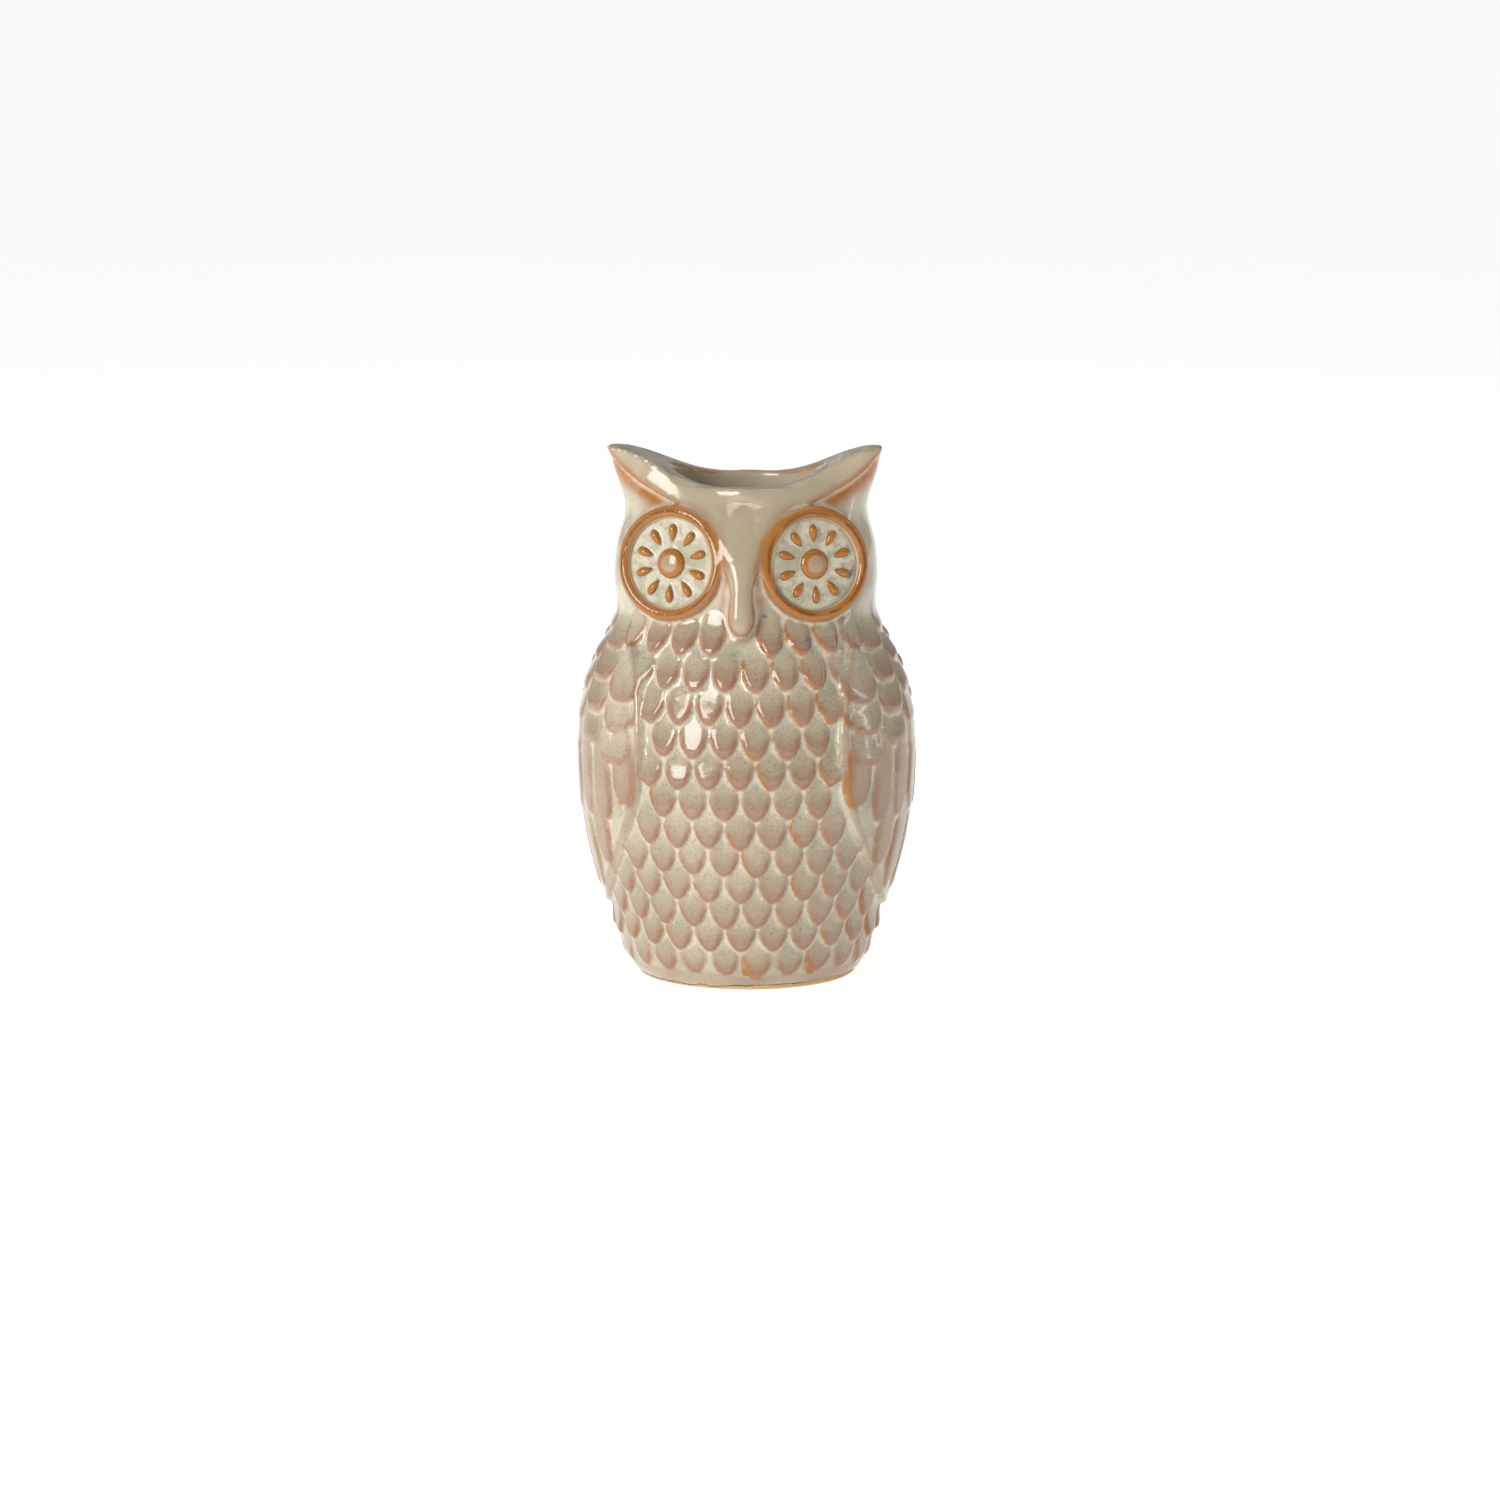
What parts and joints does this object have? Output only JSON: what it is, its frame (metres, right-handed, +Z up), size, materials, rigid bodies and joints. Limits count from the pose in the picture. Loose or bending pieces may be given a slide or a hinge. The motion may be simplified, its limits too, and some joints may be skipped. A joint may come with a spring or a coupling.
{
  "type": "figural vase",
  "caption": "Owl-shaped glazed stoneware vase with an open mouth between its ear tufts, ringed eyes, beak, folded wings and scalloped feathers.",
  "frame": {"origin": "middle of the foot ring on the plane that the vase stands on", "axes": "+Z up to the ear tips, -Y is the owl's face, +X is the owl's own left side"},
  "size_m": [0.1264, 0.1146, 0.2],
  "materials": {
    "body_glaze": "glossy reactive stoneware glaze, pale grey-green cream with fine dark specks, breaking pink-brown to rust on raised edges",
    "feather_glaze": "the same glaze, thinner and pinkish brown on the middles and edges of the feathers",
    "amber_glaze": "the same glaze broken to glossy amber brown on the raised rims, rays and pupils",
    "eye_glaze": "glossy pale green-grey glaze with dark specks, pooled in the eye discs",
    "bare_clay": "bare fired buff stoneware, matt and slightly gritty"
  },
  "bodies": {
    "root": {"vessel": "body_glaze", "foot_ring": "bare_clay", "brow": "body_glaze", "beak": "body_glaze", "left_eye_rim": "amber_glaze", "right_eye_rim": "amber_glaze", "left_eye_disc": "eye_glaze", "right_eye_disc": "eye_glaze", "left_pupil": "amber_glaze", "right_pupil": "amber_glaze", "left_eye_rays": "amber_glaze", "right_eye_rays": "amber_glaze", "left_wing": "body_glaze", "right_wing": "body_glaze", "left_wing_coverts": "feather_glaze", "right_wing_coverts": "feather_glaze", "left_wing_quills": "feather_glaze", "right_wing_quills": "feather_glaze", "breast_feathers": "feather_glaze", "back_feathers": "feather_glaze"}
  },
  "joints": []
}
